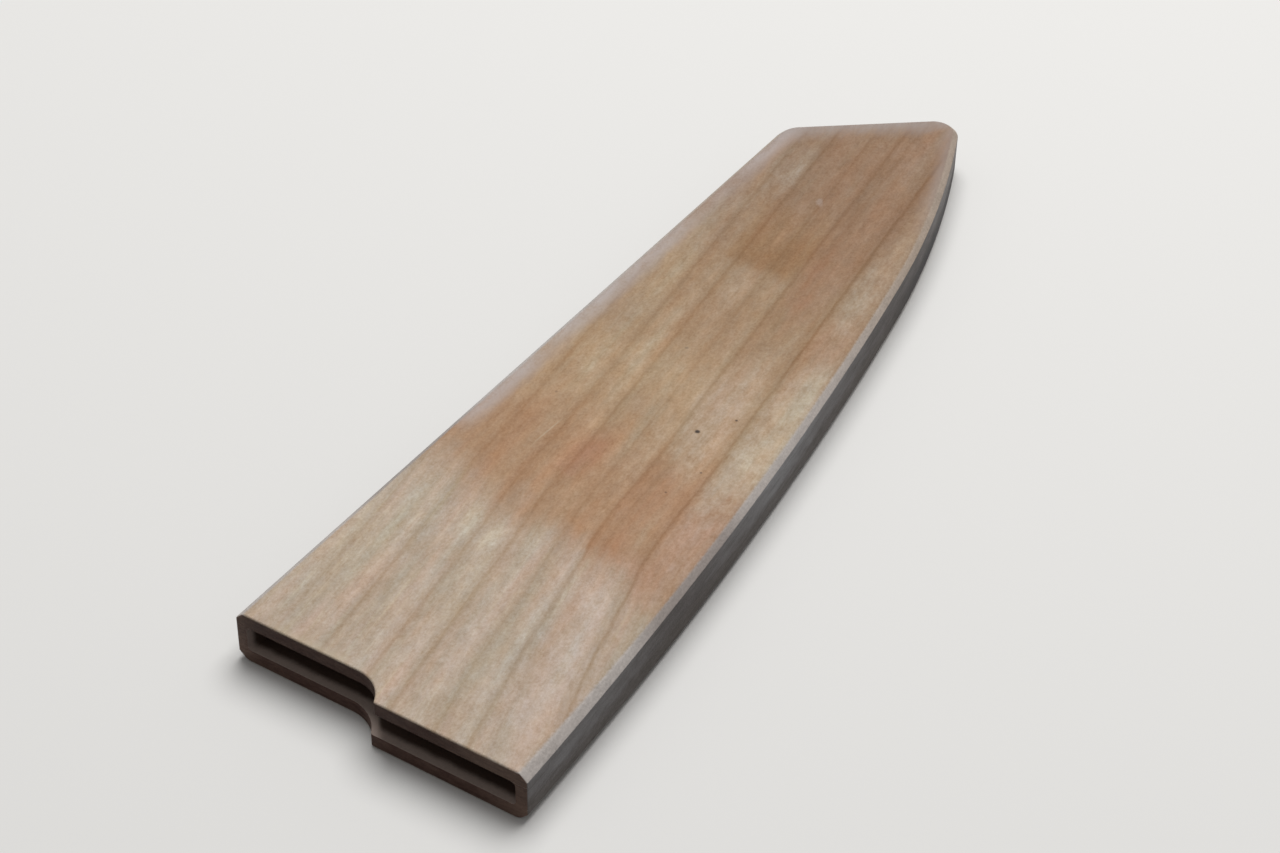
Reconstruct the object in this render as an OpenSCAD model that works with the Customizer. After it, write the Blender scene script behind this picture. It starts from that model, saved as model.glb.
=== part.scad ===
// Wooden blade guard for a clipped-point kitchen knife, built up from three layers.
// Two face panels are glued to a thin core of three strips, which leaves a flat slot for the blade.
// X runs from the spine side to the edge side, Y from the mouth to the tip, Z up through the layers.
// The guard lies on its back panel, and the origin is under the middle of its box.

/* [Outline] */
// Width across the mouth, outside
mouth_w = 56; // [44:1:70]
// Length of the straight spine side, from its mouth to the corner of the clipped point
spine_l = 163; // [145:0.5:185]
// Angle of the clipped point, against the width of the guard
clip_angle = 38.7; // [33:0.1:46]
// Radius of the corner between the spine side and the clipped point, in plan
corner_r = 5.5; // [3:0.5:10]
// Radius of the tip, in plan
tip_r = 4.4; // [2.5:0.1:6]
// Angle at which the edge side leans inward where it leaves the mouth
edge_lean = 1.6; // [0.8:0.1:2]
// Radius of the edge side from the mouth on
heel_curve_r = 950; // [800:10:1200]
// Radius of the edge side towards the tip
belly_curve_r = 235; // [180:5:300]
// Distance from the mouth at which one radius gives way to the other
curve_change_y = 134; // [115:1:145]

/* [Mouth] */
// How far the edge side of the mouth stands out past the spine side
step_depth = 4.1; // [2:0.1:5.5]
// Distance from the spine side to the shoulder of that step
step_x = 29; // [22:0.1:34]
// Radius of the hollow that leads up to the shoulder
step_r = 6.1; // [5.6:0.1:9]

/* [Layers] */
// Thickness of each face panel
panel_t = 2.5; // [2.4:0.1:4]
// Thickness of the core, which is the height of the blade slot
core_t = 4.5; // [4.2:0.1:6]
// Rounding along the outer long edges of the panels
edge_r = 1.2; // [0.6:0.05:1.6]

/* [Core] */
// Width of the core strip along the spine side
spine_wall = 2; // [1.5:0.1:5]
// Width of the core strip along the edge side
edge_wall = 2; // [1.5:0.1:5]
// Width of the core strip along the clipped point
clip_wall = 5; // [3:0.1:9]

/* [Magnets] */
// Diameter of each magnet disc
magnet_d = 6; // [4:0.5:10]
// Thickness of each magnet disc
magnet_t = 1.5; // [1:0.1:1.8]
// Gap round a magnet in its pocket, on the radius
magnet_gap = 0.05; // [0.02:0.01:0.15]
// Distance from the spine side to the row of magnets
magnet_x = 14; // [10:0.5:20]
// Distance from the mouth to the first magnet
heel_magnet_y = 42; // [20:1:60]
// Distance between the two magnets of a panel
magnet_pitch = 72; // [50:1:80]

/* [Hidden] */

panel_wood = [0.80, 0.62, 0.42];
core_wood = [0.72, 0.53, 0.35];
nickel = [0.75, 0.75, 0.77];

// Allowance by which a cutting shape runs past what it cuts
over = 3;
// Largest distance between a curve of the outline and the flats that stand for it
curve_error = 0.02;
// Steps in the quarter round along the panels' edges
round_steps = 6;

total_t = 2 * panel_t + core_t;

function unit(a) = [cos(a), sin(a)];
function heading(v) = atan2(v.y, v.x);

// Edge side: two arcs that meet without a kink
heel_centre = [mouth_w, 0] - heel_curve_r * unit(edge_lean);
change_angle = asin((curve_change_y - heel_centre.y) / heel_curve_r);
belly_centre = heel_centre + (heel_curve_r - belly_curve_r) * unit(change_angle);

// Clipped point: a line from the spine side, whose normal points into the guard
clip_start = [0, step_depth + spine_l];
clip_dir = unit(clip_angle);
clip_normal = [clip_dir.y, -clip_dir.x];
outward_angle = heading(-clip_normal);

// Corner arc, tangent to the spine side and the clip
corner_along = corner_r * (1 - clip_dir.y) / clip_dir.x;
corner_centre = clip_start + corner_along * clip_dir + corner_r * clip_normal;

// Tip arc, tangent to the clip and inside the edge side's arc
tip_base = clip_start + tip_r * clip_normal - belly_centre;
tip_reach = tip_base * clip_dir;
tip_along = -tip_reach + sqrt(pow(tip_reach, 2) - tip_base * tip_base + pow(belly_curve_r - tip_r, 2));
tip_centre = clip_start + tip_along * clip_dir + tip_r * clip_normal;
tip_angle = heading(tip_centre - belly_centre);

total_l = tip_centre.y + tip_r;
centre_offset = [-mouth_w / 2, -total_l / 2, 0];

// Where the hollow of the step begins on the spine side's mouth
step_start_x = step_x - sqrt(pow(step_r, 2) - pow(step_r - step_depth, 2));

// Arcs of the outline, anticlockwise from the mouth: centre, radius, first and last angle
overrun_angle = asin(over / heel_curve_r);
heel_arc = [heel_centre, heel_curve_r, edge_lean - overrun_angle, change_angle];
belly_arc = [belly_centre, belly_curve_r, change_angle, tip_angle];
tip_arc = [tip_centre, tip_r, tip_angle, outward_angle];
corner_arc = [corner_centre, corner_r, outward_angle, 180];

// Points of one arc, moved inward by inset, from the step numbered first
function arc_points(arc, inset, first = 1) =
    let (sweep = arc[3] - arc[2], steps = ceil(sweep / (2 * acos(1 - curve_error / arc[1]))))
    [for (i = [first:steps]) arc[0] + (arc[1] - inset) * unit(arc[2] + sweep * i / steps)];

// Edge side of the outline, from before the mouth to the tip
function edge_side(inset) = concat(arc_points(heel_arc, inset, 0), arc_points(belly_arc, inset));

// Whole outline, moved inward by inset, with its mouth end still uncut
function outline(inset) = concat(
    edge_side(inset), arc_points(tip_arc, inset), arc_points(corner_arc, inset), [[inset, -over]]
);

function reverse(list) = [for (i = [len(list) - 1:-1:0]) list[i]];

// Plate whose upper edge is rounded all round: one ring of points for each height
module rounded_plate(height, radius) {
    rings = concat([[0, 0]], [
        for (i = [0:round_steps])
            let (turn = 90 * i / round_steps)
            [radius * (1 - cos(turn)), height - radius * (1 - sin(turn))]
    ]);
    count = len(outline(0));
    top = count * (len(rings) - 1);
    points = [for (ring = rings, p = outline(ring[0])) [p.x, p.y, ring[1]]];
    sides = [
        for (k = [0:len(rings) - 2], i = [0:count - 1])
            let (j = (i + 1) % count, low = k * count, high = low + count)
            [low + i, high + i, high + j, low + j]
    ];
    bottom_face = [for (i = [0:count - 1]) i];
    top_face = [for (i = [count - 1:-1:0]) top + i];
    polyhedron(points, concat([bottom_face], sides, [top_face]));
}

// What the mouth takes away: all before the outer lip, and the hollow on the spine side
module mouth_cut() {
    translate([-over, -2 * over, -over])
        cube([mouth_w + 2 * over, 2 * over, total_t + 2 * over]);
    translate([-over, -2 * over, -over])
        cube([over + step_start_x, 2 * over + step_depth, total_t + 2 * over]);
    translate([step_start_x, step_depth - step_r, -over])
        cylinder(h = total_t + 2 * over, r = step_r, $fn = 96);
}

// Half of the plane beyond a line that runs clip_wall inside the clipped point
module beyond_clip_wall() {
    start = clip_start + clip_wall * clip_normal;
    translate([start.x, start.y, -over])
        rotate([0, 0, clip_angle])
            translate([-total_l, 0, 0])
                cube([2 * total_l, clip_wall + over, core_t + 2 * over]);
}

// Runs a magnet or its pocket along the row of one panel
module magnet_place(row_place) {
    translate([magnet_x, step_depth + heel_magnet_y + row_place * magnet_pitch, 0]) children();
}

// A panel lies with its glued face at the bottom and its rounded face on top
module panel() {
    difference() {
        rounded_plate(panel_t, edge_r);
        mouth_cut();
        for (place = [0, 1])
            magnet_place(place)
                translate([0, 0, -over])
                    cylinder(h = over + magnet_t, d = magnet_d + 2 * magnet_gap, $fn = 64);
    }
}

module magnet(place) {
    magnet_place(place) cylinder(h = magnet_t, d = magnet_d, $fn = 64);
}

// Puts a piece of the front layer, or its mirror image of the back layer, in the assembly
module in_front() {
    translate(centre_offset + [0, 0, panel_t + core_t]) children();
}

module in_back() {
    translate(centre_offset + [0, 0, panel_t]) mirror([0, 0, 1]) children();
}

module in_core() {
    translate(centre_offset + [0, 0, panel_t]) children();
}

module front_panel() {
    color(panel_wood) in_front() panel();
}

module back_panel() {
    color(panel_wood) in_back() panel();
}

module spine_strip() {
    color(core_wood) in_core() difference() {
        translate([0, -over, 0]) cube([spine_wall, over + clip_start.y, core_t]);
        mouth_cut();
        beyond_clip_wall();
    }
}

module edge_strip() {
    color(core_wood) in_core() difference() {
        linear_extrude(core_t) polygon(concat(edge_side(0), reverse(edge_side(edge_wall))));
        mouth_cut();
        beyond_clip_wall();
    }
}

module clip_strip() {
    color(core_wood) in_core() intersection() {
        linear_extrude(core_t) polygon(outline(0));
        beyond_clip_wall();
    }
}

module front_heel_magnet() {
    color(nickel) in_front() magnet(0);
}

module front_tip_magnet() {
    color(nickel) in_front() magnet(1);
}

module back_heel_magnet() {
    color(nickel) in_back() magnet(0);
}

module back_tip_magnet() {
    color(nickel) in_back() magnet(1);
}

front_panel();
back_panel();
spine_strip();
edge_strip();
clip_strip();
front_heel_magnet();
front_tip_magnet();
back_heel_magnet();
back_tip_magnet();
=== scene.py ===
from math import acos, asin, atan2, ceil, cos, pi, radians, sin, sqrt

import bmesh
import bpy
from mathutils import Matrix, Vector


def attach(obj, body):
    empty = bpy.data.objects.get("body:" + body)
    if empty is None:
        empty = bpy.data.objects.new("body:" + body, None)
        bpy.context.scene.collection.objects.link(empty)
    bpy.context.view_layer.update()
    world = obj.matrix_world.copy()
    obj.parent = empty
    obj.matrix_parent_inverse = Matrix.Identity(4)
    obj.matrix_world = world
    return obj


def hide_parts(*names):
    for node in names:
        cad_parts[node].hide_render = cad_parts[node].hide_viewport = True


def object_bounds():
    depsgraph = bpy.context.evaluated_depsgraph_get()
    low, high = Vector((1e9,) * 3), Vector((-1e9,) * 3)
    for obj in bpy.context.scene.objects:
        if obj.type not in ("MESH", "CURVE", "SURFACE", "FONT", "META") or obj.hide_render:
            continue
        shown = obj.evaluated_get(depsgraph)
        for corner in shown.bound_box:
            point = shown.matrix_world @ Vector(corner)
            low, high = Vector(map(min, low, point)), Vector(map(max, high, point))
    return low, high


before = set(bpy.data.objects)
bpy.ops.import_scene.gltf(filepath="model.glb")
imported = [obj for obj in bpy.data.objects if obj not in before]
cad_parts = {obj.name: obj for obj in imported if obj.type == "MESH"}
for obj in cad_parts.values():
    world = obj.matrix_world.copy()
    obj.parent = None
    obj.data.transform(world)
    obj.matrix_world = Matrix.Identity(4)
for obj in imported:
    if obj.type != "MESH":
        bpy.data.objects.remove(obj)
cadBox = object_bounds()
print("frame loaded:", sorted(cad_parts))

# The guard is modelled in millimetres: x from the spine side, y from the mouth's outer lip,
# z from the back face. These sizes are the ones the solids were made with.
guardSizes = {
    "mouthWidth": 56.0, "spineLength": 163.0, "clipAngle": 38.7, "cornerRadius": 5.5, "tipRadius": 4.4,
    "edgeLean": 1.6, "heelRadius": 950.0, "bellyRadius": 235.0, "changeY": 134.0,
    "stepDepth": 4.1, "panelThickness": 2.5, "coreThickness": 4.5,
    "flatError": 0.004,    # how far a flat may lie from the arc it stands for
    "overrun": 3.0,        # how far the blanks run past the mouth before it is cut
}
millimetre = 0.001
toGuard = Vector((-cadBox[0].x / millimetre, -cadBox[0].y / millimetre, 0))
intoFrame = Matrix.Scale(millimetre, 4) @ Matrix.Translation(-toGuard)
upward = Vector((0, 0, 1))


def unit(angle):
    return Vector((cos(angle), sin(angle), 0))


def heading(v):
    return atan2(v.y, v.x)


def layOut(s):
    # centres and angles of the outline's arcs, from the driving sizes
    lean = radians(s["edgeLean"])
    heel = Vector((s["mouthWidth"], 0, 0)) - s["heelRadius"] * unit(lean)
    change = asin((s["changeY"] - heel.y) / s["heelRadius"])
    belly = heel + (s["heelRadius"] - s["bellyRadius"]) * unit(change)
    clipStart = Vector((0, s["stepDepth"] + s["spineLength"], 0))
    along = unit(radians(s["clipAngle"]))
    inward = Vector((along.y, -along.x, 0))
    corner = (clipStart + s["cornerRadius"] * (1 - along.y) / along.x * along
              + s["cornerRadius"] * inward)
    base = clipStart + s["tipRadius"] * inward - belly
    reach = base.dot(along)
    room = s["bellyRadius"] - s["tipRadius"]
    tip = (clipStart + (sqrt(reach ** 2 - base.dot(base) + room ** 2) - reach) * along
           + s["tipRadius"] * inward)
    return {
        "start": lean - asin(s["overrun"] / s["heelRadius"]), "heel": heel, "change": change,
        "belly": belly, "clipStart": clipStart, "inward": inward, "outward": heading(-inward),
        "corner": corner, "tip": tip, "tipAngle": heading(tip - belly),
    }


plan = layOut(guardSizes)
thickness = 2 * guardSizes["panelThickness"] + guardSizes["coreThickness"]


# Drawing with bmesh: a point is carried along arcs and lines, and leaves the outline behind it

def arcSteps(radius, angle):
    return ceil(abs(angle) / (2 * acos(1 - guardSizes["flatError"] / radius)))


def swing(bm, vert, centre, radius, angle):
    made = bmesh.ops.spin(bm, geom=[vert], cent=centre, axis=upward, angle=angle,
                          steps=arcSteps(radius, angle), use_merge=False)
    return next(g for g in made["geom_last"] if isinstance(g, bmesh.types.BMVert))


def pull(bm, vert, goal):
    made = bmesh.ops.extrude_vert_indiv(bm, verts=[vert])["verts"][0]
    made.co = goal
    return made


def closeLoop(bm, last, first):
    bm.edges.new((last, first))
    bmesh.ops.remove_doubles(bm, verts=bm.verts, dist=1e-4)
    return bmesh.ops.contextual_create(bm, geom=bm.edges[:])["faces"]


def drawOutline(bm):
    # anticlockwise: edge side, tip, clipped point and spine side, with the mouth still uncut
    s = guardSizes
    begin = plan["heel"] + s["heelRadius"] * unit(plan["start"])
    first = bmesh.ops.create_vert(bm, co=begin)["vert"][0]
    v = swing(bm, first, plan["heel"], s["heelRadius"], plan["change"] - plan["start"])
    v = swing(bm, v, plan["belly"], s["bellyRadius"], plan["tipAngle"] - plan["change"])
    v = swing(bm, v, plan["tip"], s["tipRadius"], plan["outward"] - plan["tipAngle"])
    v = pull(bm, v, plan["corner"] + s["cornerRadius"] * unit(plan["outward"]))
    v = swing(bm, v, plan["corner"], s["cornerRadius"], pi - plan["outward"])
    v = pull(bm, v, Vector((0, begin.y, 0)))
    closeLoop(bm, v, first)


def thicken(bm, height):
    made = bmesh.ops.extrude_face_region(bm, geom=bm.faces[:])["geom"]
    raised = [g for g in made if isinstance(g, bmesh.types.BMVert)]
    bmesh.ops.translate(bm, verts=raised, vec=(0, 0, height))
    bmesh.ops.recalc_face_normals(bm, faces=bm.faces)


def bevelEdges(bm, edges, width, rounds):
    bmesh.ops.bevel(bm, geom=edges, offset=width, offset_type="OFFSET", segments=rounds,
                    profile=0.5, affect="EDGES", material=-1, clamp_overlap=False)


def cutOff(bm, point, normal):
    # takes away what lies on the side that the normal points to
    bmesh.ops.bisect_plane(bm, geom=bm.verts[:] + bm.edges[:] + bm.faces[:], dist=1e-5,
                           plane_co=point, plane_no=normal, clear_outer=True)


def toObject(bm, name):
    mesh = bpy.data.meshes.new(name)
    bm.to_mesh(mesh)
    bm.free()
    made = bpy.data.objects.new(name, mesh)
    bpy.context.scene.collection.objects.link(made)
    return made


def carve(bm, cutters):
    # takes the cutters' shapes out of the piece, and gives it back as a new bmesh
    blank = toObject(bm, "blank")
    for number, cutter in enumerate(cutters):
        tool = toObject(cutter, f"cutter{number}")
        cut = blank.modifiers.new("cut", "BOOLEAN")
        cut.operation = "DIFFERENCE"
        cut.solver = "EXACT"
        cut.object = tool
    bpy.context.view_layer.update()
    carved = bmesh.new()
    carved.from_mesh(blank.evaluated_get(bpy.context.evaluated_depsgraph_get()).to_mesh())
    for used in [blank] + [m.object for m in blank.modifiers]:
        bpy.data.meshes.remove(used.data)
    bmesh.ops.remove_doubles(carved, verts=carved.verts, dist=1e-4)
    return carved


def finishPiece(name, bm, nodeName, material):
    bmesh.ops.transform(bm, matrix=intoFrame, verts=bm.verts)
    bmesh.ops.recalc_face_normals(bm, faces=bm.faces)
    for f in bm.faces:
        f.smooth = True
    sharpTurn = radians(50)    # faces that turn by more than this meet in a crisp edge
    for e in bm.edges:
        e.smooth = len(e.link_faces) == 2 and e.calc_face_angle(0.0) < sharpTurn
    piece = toObject(bm, name)
    piece.data.materials.append(material)
    shade = piece.modifiers.new("even shading", "WEIGHTED_NORMAL")
    shade.keep_sharp = True
    shade.weight = 100
    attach(piece, "root")
    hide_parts(nodeName)
    return piece


class Wire:
    # one output of a material's node tree; an expression on wires adds its Math nodes
    def __init__(self, tree, socket=None):
        self.tree = tree
        self.socket = socket

    def make(self, kind, inputs=None, output=0, stops=None, **settings):
        # settings and a ramp's stops come first, then the values or wires of the sockets
        node = self.tree.nodes.new(kind)
        for name, value in settings.items():
            setattr(node, name, value)
        if stops:
            ramp = node.color_ramp.elements
            while len(ramp) < len(stops):
                ramp.new(0.5)
            for element, (place, tone) in zip(ramp, stops):
                element.position = place
                element.color = tone if isinstance(tone, tuple) else (tone, tone, tone, 1.0)
        for key, value in (inputs or {}).items():
            if isinstance(value, Wire):
                self.tree.links.new(value.socket, node.inputs[key])
            else:
                node.inputs[key].default_value = value
        return Wire(self.tree, node.outputs[output] if node.outputs else None)

    def maths(self, operation, *values):
        return self.make("ShaderNodeMath", dict(enumerate(values)), operation=operation)

    def __add__(self, other):
        return self.maths("ADD", self, other)

    def __sub__(self, other):
        return self.maths("SUBTRACT", self, other)

    def __rsub__(self, other):
        return self.maths("SUBTRACT", other, self)

    def __mul__(self, other):
        return self.maths("MULTIPLY", self, other)

    def __truediv__(self, other):
        return self.maths("DIVIDE", self, other)

    __radd__ = __add__
    __rmul__ = __mul__

    def atLeast(self, other):
        return self.maths("MAXIMUM", self, other)

    def size(self):
        return self.maths("ABSOLUTE", self)

    def ease(self, start, end):
        # 0 at start, 1 at end, smooth between them; start may be the larger
        return self.make("ShaderNodeMapRange", {"Value": self, "From Min": start, "From Max": end},
                         interpolation_type="SMOOTHSTEP", clamp=True)

    def within(self, low, high, softness):
        return self.ease(low - softness, low + softness) * self.ease(high + softness, high - softness)

    def vector(self, x, y, z):
        return self.make("ShaderNodeCombineXYZ", {0: x, 1: y, 2: z})

    def part(self, axis):
        return self.make("ShaderNodeSeparateXYZ", {0: self}, output="XYZ".index(axis))

    def distanceTo(self, point):
        return self.make("ShaderNodeVectorMath", {0: self, 1: point}, output=1,
                         operation="DISTANCE")

    def noise(self, detail=2.0, roughness=0.5):
        # cloudy values round 0, mostly between -1 and 1, over this vector
        cloud = self.make("ShaderNodeTexNoise",
                          {"Vector": self, "Scale": 1.0, "Detail": detail, "Roughness": roughness})
        return (cloud - 0.5) * 3.2

    def between(self, factor, one, other):
        return self.make("ShaderNodeMix", {0: factor, 6: one, 7: other}, output=2,
                         data_type="RGBA", clamp_factor=True)

    def tint(self, factor, other):
        return self.between(factor, self, other)

    def shade(self, amount, red, green, blue):
        # lightens or darkens this colour by the amount, more in one channel than in another
        return self.make("ShaderNodeVectorMath",
                         {0: self, 1: self.vector(1 + amount * red, 1 + amount * green,
                                                  1 + amount * blue)}, operation="MULTIPLY")


def colour(r, g, b):
    return (r, g, b, 1.0)


def newMaterial(name):
    material = bpy.data.materials.new(name)
    material.use_nodes = True
    material.node_tree.nodes.clear()
    return material, Wire(material.node_tree)


def closeMaterial(tree, baseColour, roughness, height=None, relief=0.0, **fixed):
    # the fixed values go straight to the shader's own sockets
    inputs = {"Base Color": baseColour, "Roughness": roughness}
    if height is not None:
        inputs["Normal"] = tree.make("ShaderNodeBump",
                                     {"Height": height, "Distance": relief, "Strength": 1.0})
    inputs.update({name.replace("_", " "): value for name, value in fixed.items()})
    shader = tree.make("ShaderNodeBsdfPrincipled", inputs)
    tree.make("ShaderNodeOutputMaterial", {"Surface": shader})


def guardPlace(tree):
    # this surface's place in guard millimetres
    where = tree.make("ShaderNodeTexCoord", output=3)
    return tree.make("ShaderNodeVectorMath",
                     {0: where, 1: (1 / millimetre,) * 3, 2: tuple(toGuard)},
                     operation="MULTIPLY_ADD")


def rimDistances(tree, x, y):
    # how far inside the edge side and the clipped point a place lies, in plan
    flat = tree.vector(x, y, 0.0)
    heel = guardSizes["heelRadius"] - flat.distanceTo(tuple(plan["heel"]))
    belly = guardSizes["bellyRadius"] - flat.distanceTo(tuple(plan["belly"]))
    pastChange = y.maths("GREATER_THAN", y, guardSizes["changeY"])
    inward = plan["inward"]
    clip = x * inward.x + (y - plan["clipStart"].y) * inward.y
    return heel + (belly - heel) * pastChange, clip


woodTones = {
    "heel": colour(0.465, 0.370, 0.285), "heelPink": colour(0.502, 0.392, 0.314),
    "cream": colour(0.520, 0.432, 0.315), "fleck": colour(0.560, 0.490, 0.370),
    "olive": colour(0.425, 0.328, 0.228), "yellow": colour(0.455, 0.335, 0.215),
    "pale": colour(0.470, 0.365, 0.272), "band": colour(0.390, 0.234, 0.135),
    "red": colour(0.385, 0.205, 0.120), "pink": colour(0.460, 0.300, 0.215),
    "gold": colour(0.405, 0.274, 0.166), "tan": colour(0.350, 0.232, 0.141),
    "brown": colour(0.292, 0.167, 0.084), "redBrown": colour(0.315, 0.179, 0.104),
    "tipBrown": colour(0.285, 0.177, 0.109), "tipPale": colour(0.350, 0.262, 0.190),
    "orange": colour(0.390, 0.235, 0.132), "greyBrown": colour(0.330, 0.235, 0.165),
    # the two pale tones here are painted sheen, with some wear, for the bands along the spine side,
    # the clipped point and the tip
    "wearSheen": colour(0.468, 0.415, 0.398), "tipWearSheen": colour(0.368, 0.320, 0.300),
    # the slope tones are painted sheen with some wear: pale cool grey, dimmer and browner in places
    "slope": colour(0.520, 0.475, 0.445), "slopeDull": colour(0.325, 0.285, 0.265),
    "slopeTip": colour(0.450, 0.365, 0.295),
    # the side tones paint the edge side wall's light and shade: grey, darker lower down, paler and
    # dimmer along it; sideWarm is a warmer wood tone for the spine side wall
    "side": colour(0.255, 0.238, 0.232), "sidePale": colour(0.370, 0.360, 0.360),
    "sideDull": colour(0.168, 0.149, 0.140), "sideLowerShade": colour(0.150, 0.128, 0.112),
    "sideWarm": colour(0.370, 0.302, 0.250),
    "endGrain": colour(0.066, 0.034, 0.026), "endBrown": colour(0.172, 0.112, 0.084),
    # slotLip and slotDeepShade: the slot's painted light at the lip and painted shade further in
    "slotLip": colour(0.520, 0.412, 0.358), "slotDeepShade": colour(0.100, 0.066, 0.050),
    "speck": colour(0.045, 0.032, 0.026),
}

# what each kind of wood looks like. rings: where a growth ring is palest and by how much,
# then where its darkest part lies and how dark it is. lines: thin dark lines across the grain.
# lengthTones: base tone from the mouth to the tip. patches: middle across and along the grain,
# half width, half length, tone, strength. heelPatches: the same, on the pale end alone.
# specks: place, radius, strength
toneLength = 185.0    # the tones along the guard are spread over this many millimetres
frontLook = {
    "seed": 0.0,
    "rings": ((6.4, 0.05, 8.0, 0.08), (11.6, 0.03, 12.6, 0.05), (13.9, 0.08, 16.1, 0.13),
              (22.5, 0.08, 24.3, 0.14), (28.3, 0.11, 30.0, 0.14), (34.3, 0.09, 36.6, 0.07),
              (40.4, 0.11, 41.6, 0.15), (43.2, -0.03, 43.9, 0.07), (48.5, 0.09, 51.1, 0.20)),
    "lines": ((8.0, 0.5), (16.1, 0.8), (20.6, 0.3), (24.3, 0.9), (30.0, 1.0), (36.6, 0.7),
              (41.6, 1.0), (43.9, 0.5), (49.9, 0.4), (51.1, 1.5)),
    "lengthTones": ((40, "band"), (66, "band"), (79, "gold"), (90, "gold"), (104, "tan"),
                    (118, "tan"), (146, "tipBrown"), (185, "tipBrown")),
    "patches": (
        (31, 64, 2.6, 6, "red", 0.9), (27, 51, 2.6, 3.5, "greyBrown", 0.45),
        (46, 46, 4.5, 6, "red", 0.5), (46, 61, 5, 9, "red", 0.35), (56, 56, 4.5, 13, "pink", 0.9),
        (52, 43, 5, 5, "pink", 0.7),
        (38.5, 66, 3, 12, "olive", 0.28), (11, 57, 3.5, 6, "orange", 0.35),
        (55, 68, 4, 8, "pale", 0.8), (38, 75, 3, 7, "olive", 0.2),
        (46, 85, 4.6, 16, "pale", 0.65), (56, 88, 4.6, 19, "pale", 1.0),
        (56.5, 86, 3, 18, "cream", 0.7),
        (28, 90, 3.5, 8, "yellow", 0.45), (20, 88, 3, 6, "yellow", 0.5),
        (36, 89, 2.6, 5, "yellow", 0.35), (34, 79, 4, 4, "greyBrown", 0.25),
        (45, 90, 3, 9, "pink", 0.2), (19, 102, 3.5, 6, "greyBrown", 0.4),
        (27, 101, 3, 8, "yellow", 0.25),
        (20, 116, 4.5, 16, "yellow", 0.4), (33.5, 114, 2.4, 6, "pale", 0.25),
        (33.5, 120, 3, 3, "pale", 0.2), (55, 112, 3.5, 9, "pink", 0.45),
        (46.5, 130, 4.2, 19, "redBrown", 0.9), (55, 131, 3, 16, "pale", 0.6),
        (35, 134, 1.4, 6, "pink", 0.3), (46.5, 130, 4, 8, "redBrown", 0.5),
        (25, 140, 2.5, 9, "tan", 0.6), (23.4, 147, 1.5, 5, "orange", 0.6),
        (22, 134, 4, 14, "tipPale", 0.45), (24.6, 152, 2.2, 13, "tipPale", 0.6),
        (28.0, 153, 2.0, 9, "tipPale", 0.6),
        (36.2, 147.8, 0.9, 1.1, "wearSheen", 0.35), (47.6, 155, 2.4, 10, "redBrown", 0.6),
        (56, 154, 3, 18, "yellow", 0.4), (46, 172, 3.5, 7, "pink", 0.2),
    ),
    # a darker zone with a sharp near end: across from and to, along from, sharp to, faded by
    "darkZone": (27.5, 41.3, 121.8, 125.2, 150.0),
    # painted sheen, with some wear, along the spine side: place and strength
    "spineSheenAlong": ((56, 0.0), (66, 1.0), (77, 1.0), (84, 0.45), (93, 0.95), (121, 0.95),
                  (134, 0.45), (146, 0.6), (156, 0.95)),
    "heelPatches": (
        (21.8, 41, 2.0, 4, "fleck", 0.5), (27, 39.6, 1.4, 3.4, "fleck", 0.6),
        (37.5, 26, 2.6, 20, "olive", 0.4), (28.5, 29, 4.5, 11, "olive", 0.45),
        (32.5, 20, 2.6, 16, "heelPink", 0.2), (46.5, 20, 5, 24, "heelPink", 0.9),
        (6, 27, 3, 12, "cream", 0.4), (13, 40, 3, 8, "cream", 0.3), (30, 46, 3, 4, "gold", 0.45),
        (38, 44, 3, 4, "greyBrown", 0.4), (12, 26, 3, 9, "cream", 0.4),
    ),
    "specks": ((35.2, 79.0, 0.42, 0.95), (39.0, 85.0, 0.22, 0.75), (41.2, 70.4, 0.2, 0.6),
               (39.1, 63.2, 0.2, 0.5), (21.8, 97.2, 0.3, 0.35), (10.2, 75.0, 0.25, 0.3)),
}
backLook = {
    "seed": 40.0,
    "rings": ((3.1, 0.06, 4.6, 0.10), (9.2, 0.05, 10.4, 0.08), (15.6, 0.09, 17.9, 0.14),
              (26.2, 0.07, 27.8, 0.12), (33.2, 0.09, 34.9, 0.15), (38.4, 0.05, 39.6, 0.08),
              (44.8, 0.08, 46.5, 0.12), (50.6, 0.06, 52.0, 0.10), (55.9, 0.06, 57.4, 0.11)),
    "lines": ((4.6, 0.7), (10.4, 0.4), (17.9, 1.0), (22.0, 0.3), (27.8, 0.8), (34.9, 1.0),
              (39.6, 0.5), (46.5, 0.8), (52.0, 0.6), (57.4, 0.7)),
    "lengthTones": ((0, "heel"), (24, "yellow"), (60, "gold"), (96, "tan"), (118, "gold"),
                    (150, "tan"), (185, "tipBrown")),
    "patches": ((18, 40, 7, 14, "pale", 0.4), (44, 66, 8, 12, "band", 0.5),
                (30, 98, 6, 16, "yellow", 0.4), (50, 120, 5, 14, "pink", 0.35),
                (30, 150, 7, 12, "brown", 0.4)),
    "heelPatches": (), "specks": (), "spineSheenAlong": ((40, 0.3), (90, 0.8), (150, 0.7)),
}
coreLook = dict(backLook, seed=80.0, patches=())


def ringStops(rings, reach):
    # a ring pales slowly, drops to its darkest part, and half recovers just past it
    stops = [(0.0, 0.5)]
    for palest, pale, darkest, dark in rings:
        stops += [(palest / reach, 0.5 + 2 * pale), (darkest / reach, 0.5 - 1.4 * dark),
                  ((darkest + 0.9) / reach, 0.5 - 0.5 * dark)]
    return stops


def lineStops(lines, reach):
    stops = [(0.0, 0.0)]
    for place, strength in lines:
        stops += [((place - 0.38) / reach, 0.0), (place / reach, 0.85 * strength),
                  ((place + 0.55) / reach, 0.0)]
    return stops


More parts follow.
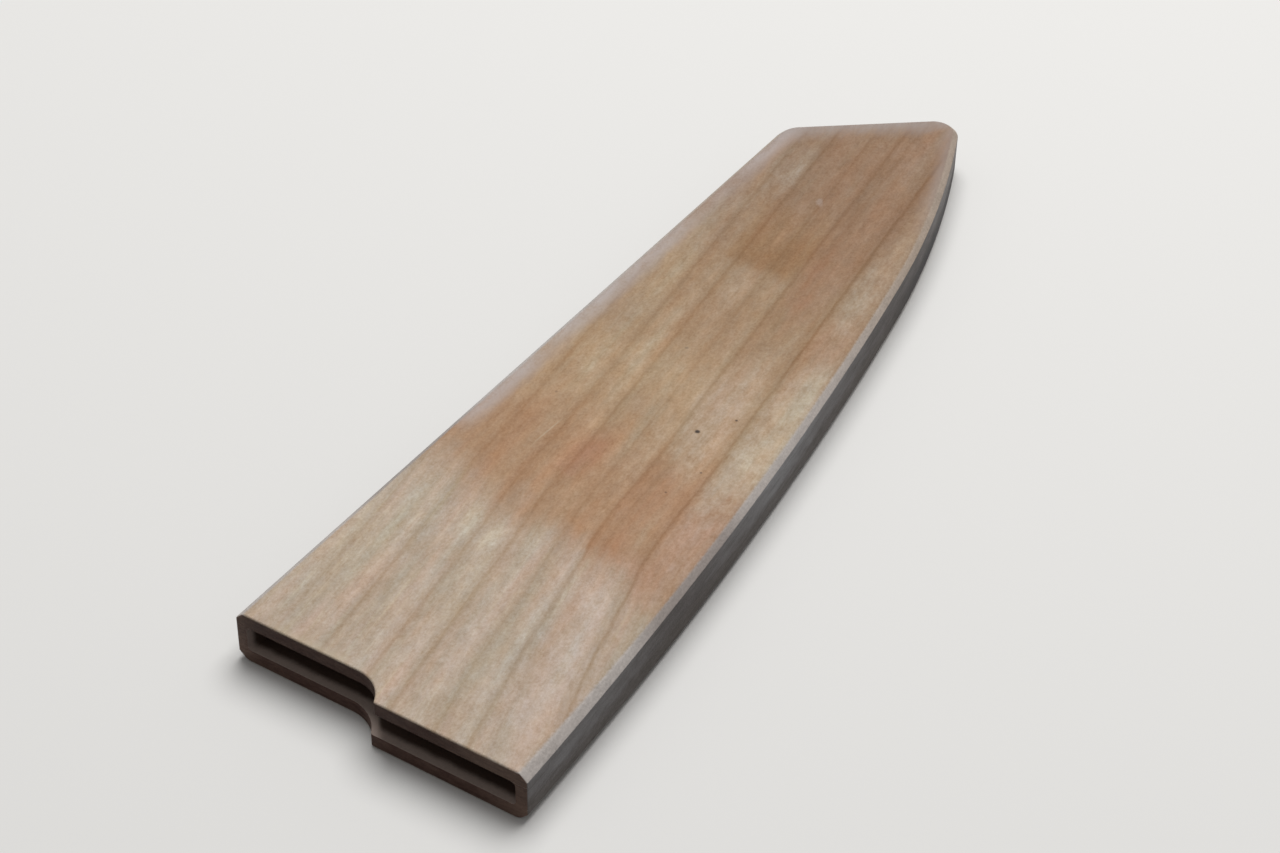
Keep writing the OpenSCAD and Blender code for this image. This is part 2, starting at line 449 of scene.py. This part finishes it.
def woodMaterial(name, look, depthOf):
    tones = woodTones
    seed = look["seed"]
    material, tree = newMaterial(name)
    place = guardPlace(tree)
    x, y, z = (place.part(a) for a in "XYZ")
    facing = tree.make("ShaderNodeNewGeometry", output=1)

    # place across the grain: the rings lean, swing out near the mouth and waver once behind it
    waver = ((y - 54.0) / 15.0).size().ease(1.0, 0.0)
    drift = tree.vector(x * 0.05, y * 0.02, z * 0.05 + seed).noise(1.0)
    grain = (x + 0.118 * y - 0.000044 * x * x * (47.0 - y).atLeast(0.0)
             + 0.5 * waver + 0.12 * drift)

    bands = tree.vector(grain * 0.45, y * 0.012, z * 0.3 + seed + 3.0).noise(3.0, 0.55)
    streaks = tree.vector(grain * 1.7, y * 0.05, z * 0.8 + seed + 7.0).noise(3.0, 0.6)
    fibres = tree.vector(grain * 6.0, y * 0.5, z * 3.0 + seed + 11.0).noise(3.0, 0.7)
    stipple = tree.vector(x * 2.6, y * 1.9, z * 3.0 + seed + 29.0).noise(2.0, 0.7)
    grit = tree.vector(grain * 1.1, y * 0.5, z * 1.2 + seed + 37.0).noise(2.0, 0.6)
    cloud = tree.vector(grain * 0.42, y * 0.19, z * 0.5 + seed + 43.0).noise(2.0)
    mottle = tree.vector(x * 0.11, y * 0.085, z * 0.1 + seed + 17.0).noise(3.0, 0.55)
    blush = tree.vector(grain * 0.30, y * 0.035, seed + 91.0).noise(2.0)
    hue = tree.vector(grain * 0.6, y * 0.30, z * 0.5 + seed + 57.0).noise(3.0, 0.65)

    wood = tree.make("ShaderNodeValToRGB", {"Fac": (y + 2.5 * mottle + 1.2 * cloud) / toneLength},
                     stops=[(at / toneLength, tones[tone]) for at, tone in look["lengthTones"]])
    across = grain + 0.5 * mottle + 0.35 * cloud
    along = y + 2.5 * mottle + 1.5 * cloud + 0.5 * grit
    uneven = 0.85 + 0.45 * cloud + 0.25 * grit

    def addPatches(wood, patches):
        for middle, height, halfWidth, halfLength, tone, strength in patches:
            spot = tree.vector(across / halfWidth, along / halfLength, 0.0)
            off = spot.distanceTo((middle / halfWidth, height / halfLength, 0.0))
            wood = wood.tint(off.ease(1.4, 0.4) * uneven * strength, tones[tone])
        return wood

    wood = addPatches(wood, look["patches"])
    if look["heelPatches"]:
        low, high, start, sharp, end = look["darkZone"]
        zone = (across.within(low, high, 0.8) * (y + 1.2 * cloud + 0.9 * mottle).ease(start, sharp)
                * along.ease(end, sharp + 4.0))
        wood = wood.tint(zone * 0.9, tones["brown"])
        # the pale end's border crosses the grain unevenly, and is softer on the spine side
        heel = tree.between(0.3 + 0.7 * bands, tones["heel"], tones["olive"])
        heel = heel.tint(0.2 + 0.9 * blush, tones["heelPink"])
        heel = addPatches(heel.tint(0.9 * streaks - 0.1, tones["cream"]), look["heelPatches"])
        border = (y - 45.4 - 6.5 * x.ease(20.0, 0.0) + 2.5 * across.ease(41.2, 41.8)
                  + 5.0 * x.ease(38.0, 54.0))
        border = ((border + 3.2 * mottle + 1.6 * cloud + 0.7 * grit)
                  * (0.62 + 0.38 * x.ease(8.0, 32.0)))
        wood = wood.tint(border.ease(5.0, -4.5), heel)
    wood = wood.shade(bands, 0.04, 0.05, 0.065).shade(mottle, 0.065, 0.10, 0.14)
    wood = wood.shade(blush, 0.05, -0.045, -0.10).shade(hue, 0.035, 0.0, -0.055)

    reach = 66.0    # the rings lie within this many millimetres across the grain
    wobble = (grain + 0.20 * cloud + 0.10 * grit) / reach
    ring = tree.make("ShaderNodeValToRGB", {"Fac": wobble}, stops=ringStops(look["rings"], reach))
    ring = (ring.part("X") - 0.5) * (0.5 + 0.2 * cloud)
    line = tree.make("ShaderNodeValToRGB", {"Fac": wobble}, stops=lineStops(look["lines"], reach))
    line = line.part("X") * (0.85 + 0.4 * grit + 0.3 * cloud)
    wood = wood.shade(ring, 0.75, 1.0, 1.3).shade(line, -0.14, -0.20, -0.28)
    texture = 0.21 * stipple + 0.12 * grit + 0.08 * cloud + 0.08 * fibres + 0.04 * streaks
    wood = wood.shade(texture, 0.76, 1.0, 1.3)

    flat = tree.vector(x, y, 0.0)
    for sx, sy, radius, strength in look["specks"]:
        spot = flat.distanceTo((sx, sy, 0.0)) + 0.04 * fibres
        wood = wood.tint(spot.ease(radius * 1.5, radius * 0.5) * strength, tones["speck"])
    edge, clip = rimDistances(tree, x, y)
    lip = y - guardSizes["stepDepth"] * x.ease(29.2, 25.0)
    if look["specks"]:
        scratch = ((x - 14.6 - 0.046 * (y - 60.0)).size().ease(0.22, 0.05)
                   * y.within(62.5, 69.0, 2.0))
        wood = wood.tint(scratch * 0.30, tones["fleck"])
        # a painted highlight along the mouth's top edge, between x 7 and 21
        wood = wood.tint((lip + 0.3 * stipple).ease(1.8, 0.3) * x.within(7.0, 21.0, 2.0) * 0.45,
                         tones["cream"])

    # a pale band along the spine side, the clipped point and the tip: painted sheen, with some wear
    # from handling
    bandRagged = 0.8 * cloud + 0.3 * stipple + 0.5 * mottle
    spineSheen = tree.make("ShaderNodeValToRGB", {"Fac": (y + 2.0 * mottle) / toneLength},
                          stops=[(at / toneLength, amount) for at, amount in look["spineSheenAlong"]])
    spineSheen = (spineSheen.part("X") * (x + bandRagged).ease(5.6, 2.2)
                 * (0.85 + 0.35 * cloud + 0.2 * stipple))
    clipSheen = (clip + 1.8 * bandRagged).ease(7.0, 1.2) * (0.85 + 0.3 * cloud + 0.15 * grit)
    tipSheen = (edge + bandRagged).ease(4.0, 0.8) * y.ease(140.0, 165.0)
    wood = wood.tint(spineSheen * 0.85, tones["wearSheen"])
    wood = wood.tint(clipSheen.atLeast(tipSheen * 0.6) * 0.85, tones["tipWearSheen"])

    # slope, side wall, inside and ends, told apart by depth and by the way the surface faces
    depth = depthOf(z)
    level = facing.part("Z").size()
    outward = (facing.part("X") * (x - 25.0)).ease(0.0, 3.0)
    outward = outward.atLeast(facing.part("Y").ease(0.1, 0.4))
    upright = level.ease(0.5, 0.25)
    # a noise that makes the painted shade uneven, and the tones of the slope, slot and ends
    grimeAndShade = tree.vector(x * 0.35, y * 0.22, z * 0.9 + seed).noise(4.0, 0.65)
    blotch = tree.vector(x * 0.05, y * 0.045, seed + 63.0).noise(2.0)
    sideGrain = tree.vector(grain * 0.5, y * 0.10, z * 3.0 + seed).noise(3.0, 0.65)
    # the slope's pale cool grey is painted sheen, with some wear; it is painted dimmer between y 34
    # and 64 and browner towards the tip
    slopeSheenTone = tree.between(y.within(34.0, 64.0, 6.0) * 0.8 + 0.2 * grimeAndShade, tones["slope"],
                             tones["slopeDull"])
    slopeSheenTone = slopeSheenTone.tint(y.ease(88.0, 150.0) * clip.ease(1.5, 3.5), tones["slopeTip"])
    slopeSheenTone = slopeSheenTone.shade(0.20 * stipple + 0.16 * grimeAndShade + 0.06 * fibres, 1.0, 1.0, 1.0)
    slope = (depth + 0.05 * stipple).ease(0.05, 0.32) * outward
    wood = wood.tint(slope * 0.93, slopeSheenTone)
    # the edge side wall is painted grey and dark: painted shade, as it faces away from the light, with
    # paler and dimmer stretches painted as the light falls along it; towards the spine side it goes
    # over to a warmer wood tone
    sideShadeTone = tree.between(0.85 * y.within(70.0, 92.0, 8.0) + 0.5 * blotch, tones["side"],
                            tones["sidePale"])
    sideShadeTone = sideShadeTone.tint(y.within(32.0, 56.0, 8.0) * 0.95, tones["sideDull"])
    sideShadeTone = sideShadeTone.tint(y.ease(104.0, 122.0) * y.ease(172.0, 152.0) * 0.9, tones["sideDull"])
    sideShadeTone = sideShadeTone.tint(y.ease(146.0, 166.0) * z.ease(4.5, 6.5) * 0.45, tones["sidePale"])
    sideShadeTone = sideShadeTone.tint(x.ease(42.0, 20.0) * 0.75, tones["sideWarm"])
    # painted shade: the lower part of the wall is darker, most of all near the tip
    sideShadeTone = sideShadeTone.tint((z + 0.7 * grimeAndShade).ease(5.4, 3.0) * 0.8, tones["sideLowerShade"])
    sideShadeTone = sideShadeTone.shade(z.ease(6.0, 2.5) * y.ease(120.0, 155.0), -0.60, -0.58, -0.50)
    sideShadeTone = sideShadeTone.shade(0.30 * grimeAndShade + 0.24 * sideGrain + 0.15 * stipple, 1.0, 1.05, 1.1)
    side = upright * outward
    wood = wood.tint(side, sideShadeTone)
    # inside the slot the floor is painted pale at the lip and dark further in: painted light on the
    # lip and painted shade in the recess
    slotTone = tree.between((lip + 0.25 * grimeAndShade).ease(0.9, 2.2), tones["slotLip"],
                            tones["slotDeepShade"])
    wood = wood.tint(depth.ease(1.3, 1.5) * (1.0 - side) * (1.0 - slope * level.ease(0.97, 0.9)),
                     slotTone)
    corners = x.ease(5.0, 0.0).atLeast(x.ease(46.0, 56.0)).atLeast(x.ease(38.0, 50.0)
                                                                   * z.ease(4.0, 6.0))
    endTone = tree.between(0.15 + 0.4 * grimeAndShade + 0.7 * corners, tones["endGrain"],
                           tones["endBrown"])
    endTone = endTone.shade(0.35 * sideGrain + 0.2 * stipple + 0.4 * z.ease(6.0, 2.0),
                            1.0, 1.0, 1.0)
    wood = wood.tint((facing.part("Y") * -1.0).ease(0.35, 0.75) * depth.ease(0.1, 0.4)
                     * y.ease(9.0, 7.0), endTone)

    roughness = 0.56 + 0.05 * bands + 0.04 * fibres - 0.06 * spineSheen
    height = 0.4 * fibres + 0.2 * streaks + 0.3 * grit + 0.35 * stipple + 0.8 * ring
    closeMaterial(tree, wood, roughness, height, 0.00003, Specular_IOR_Level=0.15)
    return material


frontWood = woodMaterial("frontWood", frontLook, lambda z: thickness - z)
backWood = woodMaterial("backWood", backLook, lambda z: z + 0.0)
coreWood = woodMaterial("coreWood", coreLook, lambda z: z * 0.0 + 2.0)


def nickelMaterial():
    material, tree = newMaterial("magnetNickel")
    place = guardPlace(tree)
    scuffs = tree.vector(place.part("X") * 1.4, place.part("Y") * 9.0, place.part("Z")).noise(3.0)
    bright = tree.between(0.5 + 0.5 * scuffs, colour(0.60, 0.60, 0.61), colour(0.72, 0.72, 0.74))
    closeMaterial(tree, bright, 0.27 + 0.05 * scuffs, scuffs, 0.000004, Metallic=1.0)
    return material


magnetNickel = nickelMaterial()
print("materials made")


# Panels. The rim profile gives steps inward and upward for a slope of one millimetre.
panelSizes = {
    "rimProfile": ((0.0, -0.07), (0.05, 0.05), (0.64, 0.64), (0.827, 0.793), (1.039, 0.906),
                   (1.27, 0.976), (1.51, 1.0)),
    "slope": 1.15, "slopeAtMouth": 1.5, "slopeGrowsBelow": 45.0,
    "frontStep": {"x": 29.0, "radius": 6.1}, "backStep": {"x": 28.2, "radius": 7.5},
    "lipRounding": 0.35, "glueRounding": 0.1,
    "magnetWidth": 6.0, "magnetThickness": 1.5, "magnetRounding": 0.2, "pocketGap": 0.05,
    "magnetX": 14.0, "heelMagnetY": 42.0, "magnetPitch": 72.0,
}


def magnetPlaces():
    p = panelSizes
    y = guardSizes["stepDepth"] + p["heelMagnetY"]
    return [Vector((p["magnetX"], y, 0)), Vector((p["magnetX"], y + p["magnetPitch"], 0))]


def slopeAt(y):
    # the hand-sanded slope grows towards the mouth
    p = panelSizes
    t = min(max((p["slopeGrowsBelow"] - y) / p["slopeGrowsBelow"], 0.0), 1.0)
    return p["slope"] + (p["slopeAtMouth"] - p["slope"]) * t * t * (3 - 2 * t)


def shapeRim(bm, top):
    # insets the top face ring by ring, then sets each ring's place on the slope
    full = guardSizes["panelThickness"]
    profile = panelSizes["rimProfile"]
    # kept with each point: its x and y at the foot of the slope, and its rise
    foot = bm.verts.layers.float_vector.new("foot")
    for v in top.verts:
        v[foot] = (v.co.x, v.co.y, profile[0][1])
    for (before, _), (inset, rise) in zip(profile, profile[1:]):
        bmesh.ops.inset_region(bm, faces=[top], thickness=inset - before, use_even_offset=True)
        for v in top.verts:
            v[foot] = (v[foot].x, v[foot].y, rise)
    for v in bm.verts:
        if v.co.z > full / 2:
            x, y, rise = v[foot]
            slope = slopeAt(y)
            v.co = (x + (v.co.x - x) * slope, y + (v.co.y - y) * slope, full - (1 - rise) * slope)


def mouthCutter(step):
    # a block with the mouth's profile: the hollow at the step, and straight lips on either side
    s = guardSizes
    rise = step["radius"] - s["stepDepth"]
    hollow = Vector((step["x"] - sqrt(step["radius"] ** 2 - rise ** 2), -rise, 0))
    bm = bmesh.new()
    first = bmesh.ops.create_vert(bm, co=(-5, s["stepDepth"], 0))["vert"][0]
    v = pull(bm, first, hollow + Vector((0, step["radius"], 0)))
    end = heading(Vector((step["x"], 0, 0)) - hollow)
    v = swing(bm, v, hollow, step["radius"], end - pi / 2)
    for corner in ((s["mouthWidth"] + 5, 0, 0), (s["mouthWidth"] + 5, -9, 0), (-5, -9, 0)):
        v = pull(bm, v, Vector(corner))
    closeLoop(bm, v, first)
    thicken(bm, 3 * s["panelThickness"])
    bmesh.ops.translate(bm, verts=bm.verts, vec=(0, 0, -s["panelThickness"]))
    return bm


def pocketCutter(place):
    p = panelSizes
    bm = bmesh.new()
    radius = p["magnetWidth"] / 2 + p["pocketGap"]
    bmesh.ops.create_cone(bm, cap_ends=True, segments=64, radius1=radius, radius2=radius,
                          depth=2 * p["magnetThickness"])
    bmesh.ops.translate(bm, verts=bm.verts, vec=place)
    return bm


def looksOutOfMouth(f):
    return abs(f.normal.z) < 0.1 and f.normal.y < -0.15 and f.calc_center_median().y < 6


def mouthEdges(bm, atGlue):
    # the sharp edges round the cut mouth, either those on the glued face or all the others
    bm.normal_update()
    return [e for e in bm.edges if len(e.link_faces) == 2
            and (max(v.co.z for v in e.verts) < 1e-3) == atGlue
            and any(looksOutOfMouth(f) for f in e.link_faces)
            and e.calc_face_angle(0.0) > radians(30)]


def roundMouth(bm):
    # softens the edges round the mouth, and its upright corners; the glued edges stay crisper
    bevelEdges(bm, mouthEdges(bm, False), panelSizes["lipRounding"], 3)
    bevelEdges(bm, mouthEdges(bm, True), panelSizes["glueRounding"], 2)


def makePanel(name, nodeName, material, isFront):
    # made as the front panel lies, with its glued face at the bottom
    p = panelSizes
    bm = bmesh.new()
    drawOutline(bm)
    thicken(bm, guardSizes["panelThickness"])
    shapeRim(bm, max(bm.faces, key=lambda f: f.calc_center_median().z))
    step = p["frontStep"] if isFront else p["backStep"]
    bm = carve(bm, [mouthCutter(step)] + [pocketCutter(place) for place in magnetPlaces()])
    roundMouth(bm)
    place = Matrix.Translation((0, 0, thickness - guardSizes["panelThickness"]))
    if not isFront:
        place = (Matrix.Translation((0, 0, guardSizes["panelThickness"]))
                 @ Matrix.Diagonal((1, 1, -1, 1)))
    bmesh.ops.transform(bm, matrix=place, verts=bm.verts)
    return finishPiece(name, bm, nodeName, material)


makePanel("frontPanel", "front_panel", frontWood, True)
makePanel("backPanel", "back_panel", backWood, False)
print("panels made")


# Core strips. The long ones have a cove along the slot, so that the slot's ends are rounded.
coreSizes = {
    "spineWall": 2.0, "edgeWall": 2.0, "clipWall": 5.0, "cove": 0.8, "cornerRounding": 0.35,
}


def drawStripProfile(bm, wall, place):
    # across the strip from its outer side at 0, and up through the core, then stood at its place
    cove = coreSizes["cove"]
    height = guardSizes["coreThickness"]
    first = bmesh.ops.create_vert(bm, co=(0, 0, 0))["vert"][0]
    v = pull(bm, first, Vector((wall + cove, 0, 0)))
    v = swing(bm, v, Vector((wall + cove, cove, 0)), cove, -pi / 2)
    v = pull(bm, v, Vector((wall, height - cove, 0)))
    v = swing(bm, v, Vector((wall + cove, height - cove, 0)), cove, -pi / 2)
    v = pull(bm, v, Vector((0, height, 0)))
    closeLoop(bm, v, first)
    bmesh.ops.delete(bm, geom=bm.faces[:], context="FACES_ONLY")
    bmesh.ops.transform(bm, matrix=place @ Matrix.Rotation(pi / 2, 4, "X"), verts=bm.verts)
    return bm.edges[:]


def clipCut(bm, side):
    cutOff(bm, plan["clipStart"] + coreSizes["clipWall"] * plan["inward"], side * plan["inward"])


def finishStrip(name, bm, nodeName, outerX):
    bmesh.ops.remove_doubles(bm, verts=bm.verts, dist=1e-4)
    bmesh.ops.holes_fill(bm, edges=bm.edges, sides=0)
    bmesh.ops.recalc_face_normals(bm, faces=bm.faces)
    if outerX is not None:
        corner = [e for e in bm.edges if abs(e.verts[0].co.z - e.verts[1].co.z) > 1
                  and max(v.co.y for v in e.verts) < 5
                  and all(abs(v.co.x - outerX) < 0.3 for v in e.verts)]
        bevelEdges(bm, corner, coreSizes["cornerRounding"], 3)
    return finishPiece(name, bm, nodeName, coreWood)


def makeEdgeStrip():
    s = guardSizes
    bm = bmesh.new()
    begin = plan["heel"] + s["heelRadius"] * unit(plan["start"])
    place = (Matrix.Translation(begin + Vector((0, 0, s["panelThickness"])))
             @ Matrix.Rotation(plan["start"] + pi, 4, "Z"))
    rungs = drawStripProfile(bm, coreSizes["edgeWall"], place)
    for centre, radius, angle in (
            (plan["heel"], s["heelRadius"], plan["change"] - plan["start"]),
            (plan["belly"], s["bellyRadius"], plan["tipAngle"] - plan["change"])):
        ends = list({v for e in rungs for v in e.verts})
        made = bmesh.ops.spin(bm, geom=rungs + ends, cent=centre, axis=upward, angle=angle,
                              steps=arcSteps(radius, angle), use_merge=False)
        rungs = [g for g in made["geom_last"] if isinstance(g, bmesh.types.BMEdge)]
    cutOff(bm, Vector((0, 0, 0)), Vector((0, -1, 0)))
    clipCut(bm, -1)
    return finishStrip("edgeStrip", bm, "edge_strip", s["mouthWidth"])


def makeSpineStrip():
    s = guardSizes
    bm = bmesh.new()
    rungs = drawStripProfile(bm, coreSizes["spineWall"],
                             Matrix.Translation((0, s["stepDepth"], s["panelThickness"])))
    made = bmesh.ops.extrude_edge_only(bm, edges=rungs)["geom"]
    far = [g for g in made if isinstance(g, bmesh.types.BMVert)]
    bmesh.ops.translate(bm, verts=far, vec=(0, s["spineLength"], 0))
    clipCut(bm, -1)
    return finishStrip("spineStrip", bm, "spine_strip", 0.0)


def makeClipStrip():
    bm = bmesh.new()
    drawOutline(bm)
    clipCut(bm, 1)
    thicken(bm, guardSizes["coreThickness"])
    bmesh.ops.translate(bm, verts=bm.verts, vec=(0, 0, guardSizes["panelThickness"]))
    return finishStrip("clipStrip", bm, "clip_strip", None)


makeEdgeStrip()
makeSpineStrip()
makeClipStrip()
print("core strips made")


def makeMagnet(name, nodeName, place, isFront):
    p = panelSizes
    bm = bmesh.new()
    bmesh.ops.create_cone(bm, cap_ends=True, cap_tris=False, segments=64,
                          radius1=p["magnetWidth"] / 2, radius2=p["magnetWidth"] / 2,
                          depth=p["magnetThickness"])
    rims = [e for e in bm.edges if abs(e.verts[0].co.z - e.verts[1].co.z) < 1e-6]
    bevelEdges(bm, rims, p["magnetRounding"], 3)
    bottom = guardSizes["panelThickness"] - p["magnetThickness"]
    if isFront:
        bottom = thickness - guardSizes["panelThickness"]
    middle = Vector((0, 0, bottom + p["magnetThickness"] / 2))
    bmesh.ops.translate(bm, verts=bm.verts, vec=place + middle)
    return finishPiece(name, bm, nodeName, magnetNickel)


for end, place in zip(("heel", "tip"), magnetPlaces()):
    for side in ("front", "back"):
        makeMagnet(f"{side}{end.capitalize()}Magnet", f"{side}_{end}_magnet", place,
                   side == "front")
print("magnets made")


# Floor, light and camera
studio = {
    "floorSize": 8.0, "floorTone": colour(0.80, 0.79, 0.77), "floorBounce": colour(0.26, 0.26, 0.27),
    "farTone": colour(0.84, 0.83, 0.81), "fade": (0.14, 0.50),
    "skyTone": colour(0.86, 0.86, 0.86), "skyStrength": 0.25,
    "keyPlace": (-0.10, 0.40, 1.06), "keySize": 1.0, "keyPower": 12.6,
    "target": (0, 0, 0.0095),
}


def stageMaterial():
    # the camera and reflections see the pale floor, which goes over to one plain tone far from
    # the guard, and the rest of the light meets a darker one
    material, tree = newMaterial("paleFloor")
    seen = tree.make("ShaderNodeLightPath", output=0)
    for other in (3, 6):
        seen = seen.atLeast(tree.make("ShaderNodeLightPath", output=other))
    tone = tree.between(seen, studio["floorBounce"], studio["floorTone"])
    near = tree.make("ShaderNodeBsdfDiffuse", {"Color": tone})
    far = tree.make("ShaderNodeEmission", {"Color": studio["farTone"]})
    place = tree.make("ShaderNodeTexCoord", output=3)
    fade = place.distanceTo((0.0, 0.0, 0.0)).ease(*studio["fade"]) * seen
    tree.make("ShaderNodeOutputMaterial",
              {"Surface": tree.make("ShaderNodeMixShader", {0: fade, 1: near, 2: far})})
    return material


def makeFloor():
    bm = bmesh.new()
    bmesh.ops.create_grid(bm, x_segments=1, y_segments=1, size=studio["floorSize"] / 2)
    floor = toObject(bm, "floor")
    floor.data.materials.append(stageMaterial())


def makeKeyLight():
    lamp = bpy.data.lights.new("key", "AREA")
    lamp.shape = "DISK"
    lamp.size = studio["keySize"]
    lamp.energy = studio["keyPower"]
    item = bpy.data.objects.new("key", lamp)
    item.location = studio["keyPlace"]
    look = (Vector(studio["target"]) - item.location).to_track_quat("-Z", "Y")
    item.rotation_euler = look.to_euler()
    bpy.context.scene.collection.objects.link(item)


def makeWorld():
    world = bpy.data.worlds.new("studio")
    world.use_nodes = True
    world.node_tree.nodes.clear()
    tree = Wire(world.node_tree)
    seen = tree.make("ShaderNodeLightPath", output=0)
    strength = studio["skyStrength"] + (1.0 - studio["skyStrength"]) * seen
    sky = tree.make("ShaderNodeBackground", {"Color": studio["skyTone"], "Strength": strength})
    tree.make("ShaderNodeOutputWorld", {"Surface": sky})
    bpy.context.scene.world = world


def makeCamera():
    view = {"place": Vector((0.18258, -0.31142, 0.28758)),
            "goal": Vector((-0.001286, -0.017890, 0.0095)),
            "roll": 1.086, "lens": 76.67, "sensor": 36.0}
    lens = bpy.data.cameras.new("camera")
    lens.lens = view["lens"]
    lens.sensor_width = view["sensor"]
    lens.sensor_fit = "HORIZONTAL"
    camera = bpy.data.objects.new("camera", lens)
    gaze = (view["goal"] - view["place"]).to_track_quat("-Z", "Y").to_matrix().to_4x4()
    camera.matrix_world = (Matrix.Translation(view["place"]) @ gaze
                           @ Matrix.Rotation(radians(view["roll"]), 4, "Z"))
    bpy.context.scene.collection.objects.link(camera)
    bpy.context.scene.camera = camera


makeFloor()
makeKeyLight()
makeWorld()
makeCamera()
bpy.context.scene.view_settings.view_transform = "Standard"
print("studio made")
